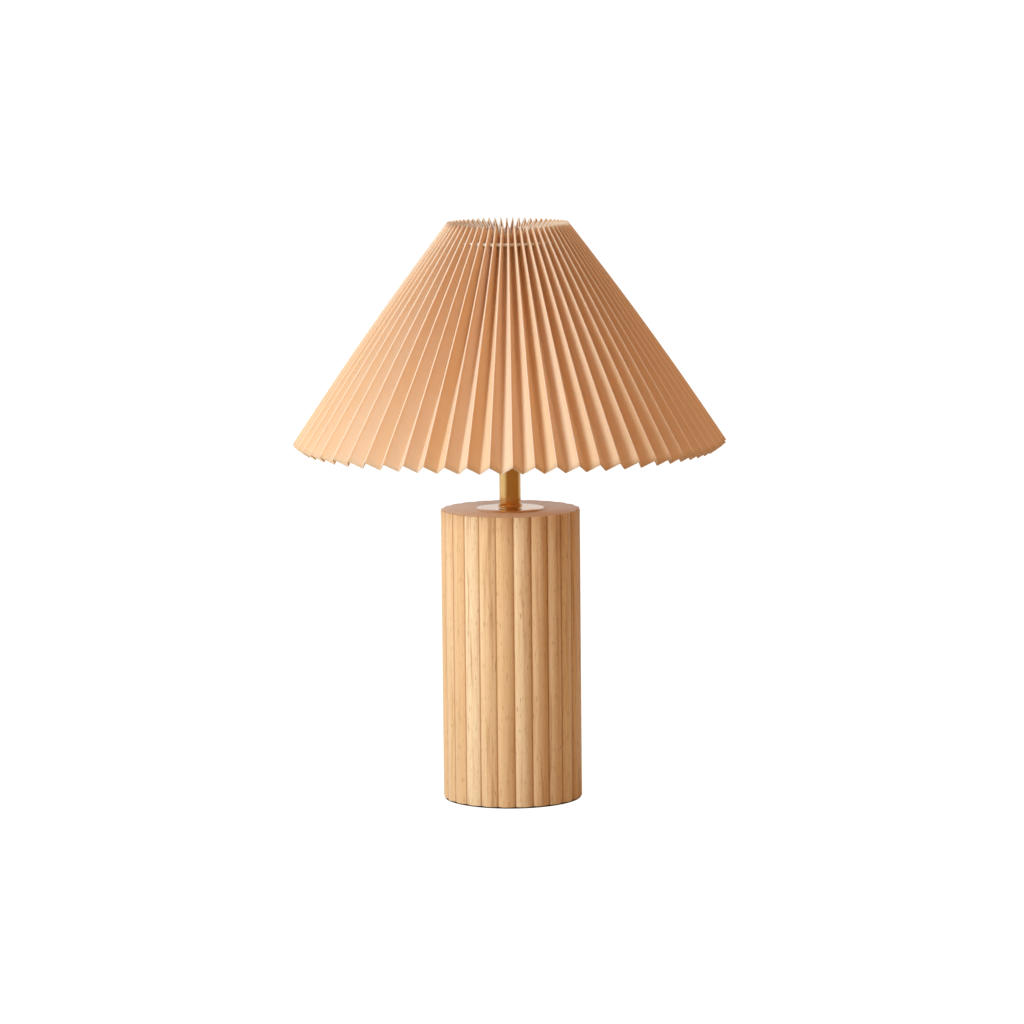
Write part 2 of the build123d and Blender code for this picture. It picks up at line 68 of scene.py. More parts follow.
class Graph:
    """The node tree of a material or the world, with short ways to add and join its nodes."""

    def __init__(self, owner: bpy.types.ID, output: str = "OutputMaterial") -> None:
        """Empties the owner's tree and gives it an output.

        Args:
            owner: the material or world that the tree belongs to.
            output: the output node's type, without its ShaderNode prefix.
        """
        owner.use_nodes = True
        self.owner = owner
        self.tree = owner.node_tree
        self.tree.nodes.clear()
        self.output = self.add(output)

    def put(self, socket: Socket, value: object) -> None:
        """Links a socket to another, or gives it a plain value."""
        if isinstance(value, Socket):
            self.tree.links.new(value, socket)
        elif isinstance(value, tuple) and socket.type == "RGBA" and len(value) == 3:
            socket.default_value = (*value, 1.0)
        else:
            socket.default_value = value

    def put_in_order(self, node: bpy.types.Node, *values: object) -> Socket:
        """Fills a node's first inputs in their order and returns its first output."""
        for socket, value in zip(node.inputs, values):
            self.put(socket, value)
        return node.outputs[0]

    def add(self, kind: str, settings: dict | None = None, **inputs: object) -> bpy.types.Node:
        """Adds a node.

        Args:
            kind: the node's type, without its ShaderNode prefix.
            settings: properties of the node itself.
            inputs: values or sockets for its inputs, with _ for a space in a name.

        Returns:
            The new node.
        """
        node = self.tree.nodes.new("ShaderNode" + kind)
        for key, value in (settings or {}).items():
            setattr(node, key, value)
        for key, value in inputs.items():
            self.put(node.inputs[key.replace("_", " ")], value)
        return node

    def math(self, operation: str, first: object, second: object = 0.0) -> Socket:
        """Returns the result of an operation on one or two numbers."""
        return self.put_in_order(self.add("Math", {"operation": operation}), first, second)

    def times(self, first: object, second: object) -> Socket:
        """Returns the product of two numbers."""
        return self.math("MULTIPLY", first, second)

    def plus(self, first: object, second: object) -> Socket:
        """Returns the sum of two numbers."""
        return self.math("ADD", first, second)

    def place(self) -> Socket:
        """Returns the Object coordinates, which are metres in the lamp's own frame."""
        return self.add("TexCoord").outputs["Object"]

    def split(self, vector: Socket) -> list[Socket]:
        """Returns the three parts of a vector."""
        return list(self.add("SeparateXYZ", Vector=vector).outputs)

    def join(self, x: object, y: object, z: object) -> Socket:
        """Returns a vector made of three numbers."""
        return self.add("CombineXYZ", X=x, Y=y, Z=z).outputs[0]

    def stretch(self, vector: Socket, scale: Triple) -> Socket:
        """Returns a vector with each part multiplied by its own scale."""
        return self.put_in_order(self.add("VectorMath", {"operation": "MULTIPLY"}), vector, scale)

    def grain(self, at: Socket, scale: float, detail: float = 4.0, rough: float = 0.55) -> Socket:
        """Returns noise from 0 to 1 at a place, with this many features per metre."""
        node = self.add("TexNoise", Vector=at, Scale=scale, Detail=detail, Roughness=rough)
        return node.outputs["Fac"]

    def chance(self, value: object) -> Socket:
        """Returns a random number from 0 to 1 that stays the same for the same value."""
        node = self.add("TexWhiteNoise", {"noise_dimensions": "1D"}, W=value)
        return node.outputs["Value"]

    def remap(
        self, value: Socket, low: float, high: float, to_low: float = 0.0, to_high: float = 1.0
    ) -> Socket:
        """Returns a value carried smoothly and clamped from one range into another."""
        node = self.add("MapRange", {"interpolation_type": "SMOOTHSTEP"})
        names = ("Value", "From Min", "From Max", "To Min", "To Max")
        for name, number in zip(names, (value, low, high, to_low, to_high)):
            self.put(node.inputs[name], number)
        return node.outputs["Result"]

    def mix(self, share: object, first: object, second: object) -> Socket:
        """Returns two colours mixed by a share. A Mix node has its colours at 6 and 7."""
        node = self.add("Mix", {"data_type": "RGBA"})
        self.put(node.inputs[0], share)
        self.put(node.inputs[6], first)
        self.put(node.inputs[7], second)
        return node.outputs[2]

    def bump(self, height: Socket, depth: float) -> Socket:
        """Returns the normal of a surface with this relief, depth metres deep."""
        return self.add("Bump", Height=height, Distance=depth, Strength=1.0).outputs[0]

    def show(self, shader: Socket) -> None:
        """Leads a shader to the output."""
        self.put(self.output.inputs["Surface"], shader)

    def blend(self, share: object, first: Socket, second: Socket) -> Socket:
        """Returns two shaders blended by a share."""
        return self.put_in_order(self.add("MixShader"), share, first, second)

    def surface(self, **inputs: object) -> None:
        """Shows the Principled shader with these inputs."""
        self.show(self.add("BsdfPrincipled", **inputs).outputs[0])

    def let_through(self, glow: Colour, share: float, normal: Socket, **inputs: object) -> None:
        """Shows the Principled shader with a share of translucence.

        Args:
            glow: the colour of the light that comes through.
            share: how much of the surface lets it through.
            normal: the surface's normal.
            inputs: the Principled shader's other inputs.
        """
        front = self.add("BsdfPrincipled", Normal=normal, **inputs)
        through = self.add("BsdfTranslucent", Color=glow, Normal=normal)
        self.show(self.blend(share, front.outputs[0], through.outputs[0]))


class Finish:
    """A procedural material, made once for its name."""

    name: str

    def material(self) -> Material:
        """Returns the material, and makes it on the first call."""
        made = bpy.data.materials.get(self.name)
        if made:
            return made
        g = Graph(bpy.data.materials.new(self.name))
        self.paint(g)
        return g.owner

    def paint(self, g: Graph) -> None:
        """Fills the material's graph."""
        raise NotImplementedError


@dataclass(frozen=True)
class PlainFinish(Finish):
    """Moulded, cast or plated stock: one colour with mottling, fine relief and gloss that wears
    unevenly.
    """

    name: str
    colour: Colour
    roughness: float
    metallic: float = 0.0
    mottle: float = 0.08
    mottle_scale: float = 90.0
    relief_scale: float = 1400.0
    relief_depth: float = 0.00004
    coat: float = 0.0
    darkening: float = 2.2
    smoothest: float = 0.82
    roughest: float = 1.2

    def paint(self, g: Graph) -> None:
        """Fills the material's graph."""
        place = g.place()
        patches = g.grain(place, self.mottle_scale, 5.0)
        fine = g.grain(place, self.relief_scale, 3.0)
        darker = tuple(part * (1.0 - self.darkening * self.mottle) for part in self.colour)
        lighter = tuple(min(1.0, part * (1.0 + self.mottle)) for part in self.colour)
        low, high = self.roughness * self.smoothest, min(1.0, self.roughness * self.roughest)
        g.surface(
            Base_Color=g.mix(g.remap(patches, 0.3, 0.7), darker, lighter),
            Roughness=g.remap(patches, 0.25, 0.75, low, high),
            Metallic=self.metallic,
            Coat_Weight=self.coat,
            Normal=g.bump(fine, self.relief_depth),
        )


@dataclass(frozen=True)
class PaperFinish(Finish):
    """Pleated paper: soft fibres, a tone for each pleat, a painted highlight on each ridge with
    painted shade beside it, and light from behind.
    """

    name: str = "pleated_paper"
    colour: Colour = (0.99, 0.89, 0.72)
    shaded: Colour = (0.95, 0.79, 0.55)
    # painted highlight along each ridge, where the fold catches the light
    ridge_highlight: Colour = (1.0, 0.98, 0.88)
    # painted shade in a band beside each ridge
    fold: Colour = (0.88, 0.66, 0.40)
    glow: Colour = (1.0, 0.56, 0.14)
    glow_share: float = 0.44
    pleat_count: int = 62

    def paint(self, g: Graph) -> None:
        """Fills the material's graph."""
        place = g.place()
        x, y, _ = g.split(place)
        turn = g.times(g.math("ARCTAN2", y, x), self.pleat_count / (2 * math.pi))
        pleat = g.math("FLOOR", g.plus(turn, 0.5))
        across = g.split(g.add("UVMap", {"uv_map": "pleat"}).outputs[0])[0]
        tone = g.plus(g.times(g.chance(pleat), 0.5), g.times(g.grain(place, 26.0), 0.6))
        base = g.mix(g.remap(tone, 0.2, 0.95), self.colour, self.shaded)
        fibres = g.grain(g.stretch(place, (1.0, 1.0, 0.35)), 700.0, 6.0, 0.65)
        base = g.mix(g.remap(fibres, 0.35, 0.75, 0.0, 0.22), base, self.shaded)
        # painted shade: a darker band just beside each ridge
        crease = g.times(g.remap(across, 0.055, 0.085), g.remap(across, 0.10, 0.30, 0.5, 0.0))
        base = g.mix(crease, base, self.fold)
        # painted highlight: a pale line along each ridge
        base = g.mix(g.remap(across, 0.045, 0.075, 0.95, 0.0), base, self.ridge_highlight)
        normal = g.bump(fibres, 0.00012)
        g.let_through(
            self.glow, self.glow_share, normal,
            Base_Color=base, Roughness=0.82, Sheen_Weight=0.15, Sheen_Roughness=0.5,
        )


@dataclass(frozen=True)
class PaperBackFinish(Finish):
    """The paper's pale lining or its cut edges, with some light coming through."""

    name: str
    colour: Colour
    shaded: Colour
    glow: Colour = (1.0, 0.80, 0.66)
    glow_share: float = 0.4

    def paint(self, g: Graph) -> None:
        """Fills the material's graph."""
        fibres = g.grain(g.place(), 600.0, 6.0, 0.65)
        normal = g.bump(fibres, 0.0001)
        base = g.mix(g.remap(fibres, 0.3, 0.75), self.colour, self.shaded)
        g.let_through(self.glow, self.glow_share, normal, Base_Color=base, Roughness=0.85)


@dataclass(frozen=True)
class ReedWoodFinish(Finish):
    """Oiled pale hardwood in upright staves: each reed has its own tone, grain and flecks, with
    painted shade at the grooves.
    """

    name: str = "reed_wood"
    light: Colour = (0.89, 0.70, 0.48)
    middle: Colour = (0.73, 0.46, 0.25)
    dark: Colour = (0.34, 0.16, 0.06)
    # colour of the painted shade in the grooves between the reeds
    groove: Colour = (0.40, 0.18, 0.07)
    reed_count: int = 24
    crest_radius: float = 0.060

    def paint(self, g: Graph) -> None:
        """Fills the material's graph."""
        x, y, z = g.split(g.place())
        angle = g.math("SUBTRACT", g.math("ARCTAN2", y, x), FRONT_AZIMUTH)
        turn = g.times(angle, self.reed_count / (2 * math.pi))
        reed = g.math("FLOOR", g.plus(turn, 0.5))
        across = g.math("SUBTRACT", turn, reed)
        tone = g.chance(g.plus(reed, 7.3))
        figure = g.chance(g.plus(reed, 41.7))
        # across the reed in metres, and each reed from another place in the tree
        side = g.times(across, 2 * math.pi * self.crest_radius / self.reed_count)
        start = g.times(reed, 3.71)
        flow = g.join(side, start, g.times(z, 0.045))
        waves = g.grain(g.join(g.times(side, 0.35), start, g.times(z, 0.16)), 95.0, 2.0)
        bent = g.join(g.plus(side, g.times(waves, 0.006)), start, g.times(z, 0.03))
        broad = g.grain(bent, 330.0, 3.0, 0.6)
        fine = g.grain(flow, 1500.0, 5.0, 0.7)
        pores = g.grain(g.join(side, start, g.times(z, 0.10)), 1100.0, 2.0, 0.4)
        shade = g.plus(g.times(tone, 0.55), g.times(broad, 0.75))
        body = g.mix(g.remap(shade, 0.30, 0.98), self.light, self.middle)
        streaks = g.times(g.remap(broad, 0.52, 0.70), g.remap(figure, 0.1, 0.9, 0.25, 0.8))
        body = g.mix(streaks, body, self.dark)
        body = g.mix(g.remap(fine, 0.38, 0.70, 0.0, 0.65), body, self.middle)
        body = g.mix(g.remap(pores, 0.62, 0.72, 0.0, 0.65), body, self.dark)
        # painted shade: the wood darkens towards each groove between the reeds
        edge = g.math("ABSOLUTE", across)
        body = g.mix(g.remap(edge, 0.42, 0.5, 0.0, 0.8), body, self.groove)
        gloss = g.remap(fine, 0.2, 0.8, 0.42, 0.62)
        relief = g.math("SUBTRACT", g.times(fine, 0.5), g.remap(pores, 0.66, 0.74, 0.0, 0.8))
        g.surface(Base_Color=body, Roughness=gloss, Normal=g.bump(relief, 0.00012))


@dataclass(frozen=True)
class TopWoodPaintedLightFinish(Finish):
    """The column's flat top: the same wood with its grain lying across, painted lighter and pinker
    for the light that falls on it.
    """

    name: str = "column_top_wood_painted_light"
    # colours painted lighter than the reeds' wood, for the light that falls on the top
    light: Colour = (0.98, 0.77, 0.58)
    dark: Colour = (0.84, 0.61, 0.43)
    coat: float = 0.12

    def paint(self, g: Graph) -> None:
        """Fills the material's graph."""
        place = g.place()
        bend = g.grain(g.stretch(place, (0.3, 1.0, 1.0)), 22.0, 2.0)
        x, y, z = g.split(place)
        flow = g.join(g.times(x, 0.05), g.plus(y, g.times(bend, 0.012)), z)
        bands = g.grain(flow, 420.0, 4.0, 0.6)
        fine = g.grain(g.join(g.times(x, 0.06), y, z), 1900.0, 4.0, 0.7)
        body = g.mix(g.remap(bands, 0.35, 0.75), self.light, self.dark)
        body = g.mix(g.remap(fine, 0.5, 0.8, 0.0, 0.4), body, self.dark)
        g.surface(
            Base_Color=body, Roughness=g.remap(fine, 0.2, 0.8, 0.26, 0.40),
            Coat_Weight=self.coat, Coat_Roughness=0.2, Normal=g.bump(fine, 0.00006),
        )


@dataclass(frozen=True)
class BrassFinish(Finish):
    """Lacquered brass: satin with fine lines along a turned piece, or polished with faint swirls."""

    name: str
    colour: Colour
    tarnish: Colour
    roughness: float
    lines: Triple = (1.0, 1.0, 0.02)
    line_scale: float = 2600.0
    relief: float = 0.000004

    def paint(self, g: Graph) -> None:
        """Fills the material's graph."""
        place = g.place()
        brushed = g.grain(g.stretch(place, self.lines), self.line_scale, 4.0, 0.7)
        clouds = g.grain(place, 70.0, 4.0)
        colour = g.mix(g.remap(clouds, 0.35, 0.8, 0.0, 0.6), self.colour, self.tarnish)
        colour = g.mix(g.remap(brushed, 0.35, 0.8, 0.0, 0.25), colour, self.tarnish)
        wear = g.plus(g.times(brushed, 0.6), g.times(clouds, 0.4))
        gloss = g.remap(wear, 0.3, 0.7, self.roughness * 0.8, self.roughness * 1.3)
        normal = g.bump(brushed, self.relief)
        g.surface(Base_Color=colour, Metallic=1.0, Roughness=gloss, Normal=normal)


@dataclass(frozen=True)
class TwistedCottonFinish(Finish):
    """Soft cotton cord in plies, with fibres along each ply."""

    name: str = "twisted_cotton"
    light: Colour = (1.0, 0.97, 0.93)
    dark: Colour = (0.94, 0.86, 0.79)

    def paint(self, g: Graph) -> None:
        """Fills the material's graph."""
        place = g.place()
        fibres = g.grain(place, 2200.0, 5.0, 0.7)
        soil = g.grain(place, 160.0, 3.0)
        colour = g.mix(g.remap(fibres, 0.3, 0.75), self.light, self.dark)
        colour = g.mix(g.remap(soil, 0.45, 0.8, 0.0, 0.4), colour, self.dark)
        g.surface(Base_Color=colour, Roughness=0.9, Sheen_Weight=0.25, Normal=g.bump(fibres, 0.00015))


PAPER_LINING = PaperBackFinish("paper_lining", (0.96, 0.94, 0.93), (0.88, 0.85, 0.83))
PAPER_EDGE = PaperBackFinish("paper_edge", (1.0, 0.99, 0.97), (0.97, 0.94, 0.91), glow_share=0.15)
SATIN_BRASS = BrassFinish("satin_brass", (0.80, 0.53, 0.22), (0.66, 0.40, 0.13), 0.24)
POLISHED_BRASS = BrassFinish(
    "polished_brass", (0.88, 0.66, 0.51), (0.80, 0.57, 0.42), 0.10, (1.0, 1.0, 1.0), 900.0, 0.000002
)
CONTACT_BRASS = BrassFinish(
    "contact_brass", (0.82, 0.58, 0.26), (0.55, 0.33, 0.12), 0.25, (1.0, 1.0, 1.0), 1500.0
)
FOOT_RUBBER = PlainFinish(
    "foot_pad_rubber", (0.035, 0.030, 0.028), 0.85, mottle=0.2, relief_scale=1800.0,
    relief_depth=0.0001,
)
GLAND_PLASTIC = PlainFinish("gland_plastic", (0.045, 0.038, 0.034), 0.5, relief_depth=0.00003)
ZINC = PlainFinish("zinc_plate", (0.60, 0.60, 0.57), 0.36, 1.0, mottle=0.12, mottle_scale=260.0)
HOLDER_PLASTIC = PlainFinish("holder_plastic", (0.80, 0.78, 0.72), 0.38, mottle=0.03)
CERAMIC = PlainFinish("holder_ceramic", (0.84, 0.82, 0.76), 0.55, mottle=0.05, relief_scale=900.0)
WIRE_PAINT = PlainFinish(
    "frame_paint", (0.80, 0.76, 0.70), 0.42, mottle=0.05, relief_scale=1100.0, relief_depth=0.00006
)
OPAL = PlainFinish("bulb_opal", (0.90, 0.90, 0.88), 0.30, mottle=0.015, coat=0.4)
BULB_PLASTIC = PlainFinish("bulb_plastic", (0.84, 0.84, 0.82), 0.34, mottle=0.03)
NICKEL = PlainFinish("cap_nickel", (0.66, 0.64, 0.59), 0.28, 1.0, mottle=0.1, mottle_scale=300.0)
BLACK_GLASS = PlainFinish("insulator_glass", (0.02, 0.02, 0.022), 0.12, mottle=0.1)


# ---- building meshes


def mesh_of(name: str, bm: BMesh) -> bpy.types.Mesh:
    """Returns a mesh with the shape of a bmesh, which is freed."""
    mesh = bpy.data.meshes.new(name)
    bm.to_mesh(mesh)
    bm.free()
    return mesh


def in_scene(name: str, data: bpy.types.ID) -> bpy.types.Object:
    """Returns a new object of this data in the scene."""
    made = bpy.data.objects.new(name, data)
    bpy.context.scene.collection.objects.link(made)
    return made


def finish_piece(
    name: str,
    bm: BMesh,
    body: Body,
    materials: list[Material],
    stands_for: tuple[str, ...] = (),
    crease: float = 35.0,
) -> bpy.types.Object:
    """Turns a bmesh into a finished piece that rides on its body.

    Args:
        name: the piece's name.
        bm: its shape in the lamp's frame, freed here.
        body: the CAD body that it moves with.
        materials: its materials, in the order of its faces' indices.
        stands_for: CAD nodes that it replaces.
        crease: edges with more than this angle in degrees stay sharp.

    Returns:
        The new object.
    """
    mesh = mesh_of(name, bm)
    mesh.shade_smooth()
    mesh.set_sharp_from_angle(angle=math.radians(crease))
    for material in materials:
        mesh.materials.append(material)
    piece = in_scene(name, mesh)
    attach(piece, body.value)
    if stands_for:
        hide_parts(*stands_for)
    log.info("%s: %d faces on %s", name, len(mesh.polygons), body.value)
    return piece


def spin(
    bm: BMesh, geometry: list, steps: int, angle: float = 2 * math.pi, copies: bool = False
) -> None:
    """Turns geometry about the lamp's axis in steps, drawn out into faces or as copies."""
    bmesh.ops.spin(
        bm, geom=geometry, cent=(0, 0, 0), axis=(0, 0, 1), dvec=(0, 0, 0), angle=angle,
        steps=steps, use_merge=not copies, use_duplicate=copies,
    )


def bevel(bm: BMesh, edges: list, width: float, segments: int) -> None:
    """Rounds edges off with this many flats, which reach this far from each edge."""
    bmesh.ops.bevel(
        bm, geom=edges, offset=width, segments=segments, affect="EDGES", profile=0.5,
        material=-1, clamp_overlap=True, offset_type="OFFSET",
    )


def turned(profile: list[Point], steps: int = 96, closed: bool = False) -> BMesh:
    """Turns a profile about the lamp's axis.

    Args:
        profile: radius and height of each point, from one end to the other.
        steps: how many stretches the full turn has.
        closed: whether the last point joins the first.

    Returns:
        The turned shape.
    """
    bm = bmesh.new()
    verts = [bm.verts.new((radius, 0.0, height)) for radius, height in profile]
    pairs = list(zip(verts, verts[1:]))
    if closed:
        pairs.append((verts[-1], verts[0]))
    edges = [bm.edges.new(pair) for pair in pairs]
    spin(bm, verts + edges, steps)
    bmesh.ops.remove_doubles(bm, verts=bm.verts, dist=1e-7)
    bmesh.ops.recalc_face_normals(bm, faces=bm.faces)
    return bm


def soften(bm: BMesh, width: float, over: float = 35.0, segments: int = 2) -> None:
    """Rounds the edges of a shape that are sharper than an angle.

    Args:
        bm: the shape.
        width: how far the rounding reaches from the edge.
        over: the least angle in degrees between the faces.
        segments: how many flats the rounding has.
    """
    least = math.radians(over)
    sharp = [edge for edge in bm.edges if edge.is_manifold and edge.calc_face_angle() > least]
    bevel(bm, sharp, width, segments)


def threaded(
    bm: BMesh, radius: float, low: float, high: float, pitch: float, depth: float
) -> None:
    """Presses a round screw thread into the outside of a turned shape.

    Args:
        bm: the shape, with enough rows of vertices between the two heights.
        radius: radius of the thread's crests.
        low: height where the thread starts.
        high: height where it ends.
        pitch: rise of one turn.
        depth: depth of its roots.
    """
    for vert in bm.verts:
        if abs(math.hypot(vert.co.x, vert.co.y) - radius) > 1e-5 or not low < vert.co.z < high:
            continue
        azimuth = math.atan2(vert.co.y, vert.co.x)
        wave = 0.5 - 0.5 * math.cos(2 * math.pi * vert.co.z / pitch - azimuth)
        fade = min(1.0, (vert.co.z - low) / pitch, (high - vert.co.z) / pitch)
        share = 1.0 - depth * wave * fade / radius
        vert.co.x *= share
        vert.co.y *= share


def arc(
    middle: Point, reach: float, rise: float, start: float, end: float, steps: int
) -> list[Point]:
    """Returns profile points on part of an ellipse, whose angles count from straight below.

    Args:
        middle: radius and height of its centre.
        reach: half its width.
        rise: half its height.
        start: the first point's angle.
        end: the last point's angle.
        steps: how many stretches lie between them.

    Returns:
        Radius and height of each point.
    """
    angles = [start + (end - start) * step / steps for step in range(steps + 1)]
    return [(middle[0] + reach * math.sin(at), middle[1] - rise * math.cos(at)) for at in angles]


def rows(radius: float, low: float, high: float, count: int) -> list[Point]:
    """Returns profile points at one radius, evenly spaced up from low to high."""
    return [(radius, low + (high - low) * row / count) for row in range(count + 1)]


def dress(nodes: list[str], material: Material) -> None:
    """Gives CAD nodes that stay in view their material.

    Args:
        nodes: the nodes' names.
        material: what they are made of.
    """
    for node in nodes:
        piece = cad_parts[node]
        piece.data.materials.clear()
        piece.data.materials.append(material)
        log.info("%s keeps its CAD shape", node)


# ---- the lamp


@dataclass
class ReededColumn:
    """The wooden column with its reeds, the pad under it and the gland at its back."""

    base: float = 0.001
    height: float = 0.250
    crest_radius: float = 0.060
    groove_radius: float = 0.058
    reed_count: int = 24
    reed_flats: int = 16
    recess_radius: float = 0.028
    recess_depth: float = 0.030
    bore_radius: float = 0.00525
    rim_bevel: float = 0.0005
    flat_normal: float = 0.95
    gland_height: float = 0.016
    gland_radius: float = 0.00725
    gland_bore: float = 0.005

    def reed_radius(self, azimuth: float) -> float:
        """Radius of the reeded outline at an azimuth, an arc from groove to groove."""
        step = 2 * math.pi / self.reed_count
        offset = (azimuth - FRONT_AZIMUTH + step / 2) % step - step / 2
        half_width = self.groove_radius * math.sin(step / 2)
        rise = self.crest_radius - self.groove_radius * math.cos(step / 2)
        arc_radius = (half_width**2 + rise**2) / (2 * rise)
        centre = self.crest_radius - arc_radius
        beside = centre * math.sin(offset)
        return centre * math.cos(offset) + math.sqrt(arc_radius**2 - beside**2)

    def loop(
        self, bm: BMesh, radius: float | None, height: float
    ) -> list[bmesh.types.BMEdge]:
        """Adds one round of edges.

        Args:
            bm: the column's mesh.
            radius: the round's radius, or None for the reeded outline.
            height: its height.

        Returns:
            The new edges.
        """
        start = Matrix.Translation((0, 0, height)) @ Matrix.Rotation(FRONT_AZIMUTH, 4, "Z")
        made = bmesh.ops.create_circle(
            bm, cap_ends=False, radius=radius or self.crest_radius,
            segments=self.reed_count * self.reed_flats, matrix=start,
        )
        for vert in made["verts"]:
            if radius is None:
                azimuth = math.atan2(vert.co.y, vert.co.x)
                share = self.reed_radius(azimuth) / self.crest_radius
                vert.co.x *= share
                vert.co.y *= share
        return list({edge for vert in made["verts"] for edge in vert.link_edges})

    def cut_gland_seat(self, piece: bpy.types.Object) -> None:
        """Cuts the flat and the hole of the cord gland into the back of the column.

        Args:
            piece: the column.
        """
        inside, outside = self.recess_radius * 0.6, self.crest_radius * 1.1
        cutter = turned(
            [
                (0.0, inside), (self.gland_bore, inside), (self.gland_bore, self.groove_radius),
                (self.gland_radius, self.groove_radius), (self.gland_radius, outside), (0.0, outside),
            ],
            48,
        )
        raised = Matrix.Translation((0, 0, self.gland_height))
        to_back = raised @ Matrix.Rotation(-math.pi / 2, 4, "X")
        bmesh.ops.transform(cutter, matrix=to_back, verts=cutter.verts)
        tool = in_scene("gland_cutter", mesh_of("gland_cutter", cutter))
        carve = piece.modifiers.new("gland_seat", "BOOLEAN")
        carve.operation = "DIFFERENCE"
        carve.solver = "EXACT"
        carve.object = tool
        graph = bpy.context.evaluated_depsgraph_get()
        carved = bpy.data.meshes.new_from_object(piece.evaluated_get(graph))
        piece.modifiers.clear()
        piece.data = carved
        carved.name = piece.name
        carved.set_sharp_from_angle(angle=math.radians(30))
        bpy.data.objects.remove(tool)

    def build(self) -> None:
        """Builds the column and dresses its pad and gland."""
        bm = bmesh.new()
        low, high = self.base, self.base + self.height
        recess_top = low + self.recess_depth
        outline = (
            (None, low), (self.recess_radius, low), (self.recess_radius, recess_top),
            (self.bore_radius, recess_top), (self.bore_radius, high), (None, high),
        )
        rounds = [self.loop(bm, radius, height) for radius, height in outline]
        for first, second in zip(rounds, rounds[1:] + rounds[:1]):
            bmesh.ops.bridge_loops(bm, edges=first + second)
        bmesh.ops.recalc_face_normals(bm, faces=bm.faces)
        rims = [edge for edge in rounds[0] + rounds[-1] if edge.is_valid]
        bevel(bm, rims, self.rim_bevel, 2)
        # the flat top gets the wood painted lighter for the light that falls on it
        for face in bm.faces:
            on_top = face.calc_center_median().z > high - self.rim_bevel
            face.material_index = int(on_top and face.normal.z > self.flat_normal)
        piece = finish_piece(
            "reeded_column", bm, Body.STAND,
            [ReedWoodFinish().material(), TopWoodPaintedLightFinish().material()], ("wood_column",), 30.0,
        )
        self.cut_gland_seat(piece)
        dress(["foot_pad"], FOOT_RUBBER.material())
        dress(["cord_gland"], GLAND_PLASTIC.material())
        dress(["bottom_washer", "lock_washer", "bottom_nut", "threaded_rod"], ZINC.material())


@dataclass
class BrassStem:
    """The polished disc on the column, the beaded collar, the stem and its cap."""

    disc_bottom: float = 0.251
    disc_radius: float = 0.0289
    disc_thickness: float = 0.0012
    disc_edge: float = 0.0004
    rod_bore: float = 0.00525
    collar_height: float = 0.0034
    neck: float = 0.0086
    neck_height: float = 0.0005
    bead_start: float = 0.0006
    bead_foot: float = 0.0097
    bead_radius: float = 0.0104
    bead_half_height: float = 0.001
    stem_radius: float = 0.00915
    stem_bore: float = 0.00815
    stem_length: float = 0.0864
    stem_edge: float = 0.0002
    spigot: float = 0.004
    spigot_slip: float = 0.00005
    cap_bore: float = 0.00505
    plate_radius: float = 0.0106
    plate_thickness: float = 0.0025
    plate_edge: float = 0.0004

    def build(self) -> None:
        """Builds the four brass pieces."""
        satin, polished = SATIN_BRASS.material(), POLISHED_BRASS.material()
        low = self.disc_bottom
        top = low + self.disc_thickness
        outer, bore = self.disc_radius, self.rod_bore
        disc = turned([(bore, low), (outer, low), (outer, top), (bore, top)], 160, True)
        soften(disc, self.disc_edge, 60.0, 3)
        finish_piece("brass_disc", disc, Body.STAND, [polished], ("top_disc",), 50.0)

        shoulder = top + self.collar_height
        reach = self.bead_radius - self.bead_foot
        middle = (self.bead_foot, top + self.bead_start + self.bead_half_height)
        bead = arc(middle, reach, self.bead_half_height, 0.0, math.pi, 10)
        fit = self.stem_bore - self.spigot_slip
        collar = turned(
            [
                (bore, top), (self.neck, top), (self.neck, top + self.neck_height), *bead,
                (self.stem_radius, shoulder), (fit, shoulder), (fit, shoulder + self.spigot),
                (bore, shoulder + self.spigot),
            ],
            128, True,
        )
        finish_piece("beaded_collar", collar, Body.STAND, [satin], ("stem_collar",))

        end = shoulder + self.stem_length
        outside = rows(self.stem_radius, shoulder, end, 12)
        stem = turned([(self.stem_bore, shoulder), *outside, (self.stem_bore, end)], 128, True)
        soften(stem, self.stem_edge, 60.0)
        finish_piece("brass_stem", stem, Body.STAND, [satin], ("stem_tube",), 50.0)

        plate = end + self.plate_thickness
        cap = turned(
            [
                (self.cap_bore, end - self.spigot), (fit, end - self.spigot), (fit, end),
                (self.plate_radius, end), (self.plate_radius, plate), (self.cap_bore, plate),
            ],
            96, True,
        )
        soften(cap, self.plate_edge, 60.0)
        finish_piece("brass_stem_cap", cap, Body.STAND, [satin], ("stem_cap",), 50.0)


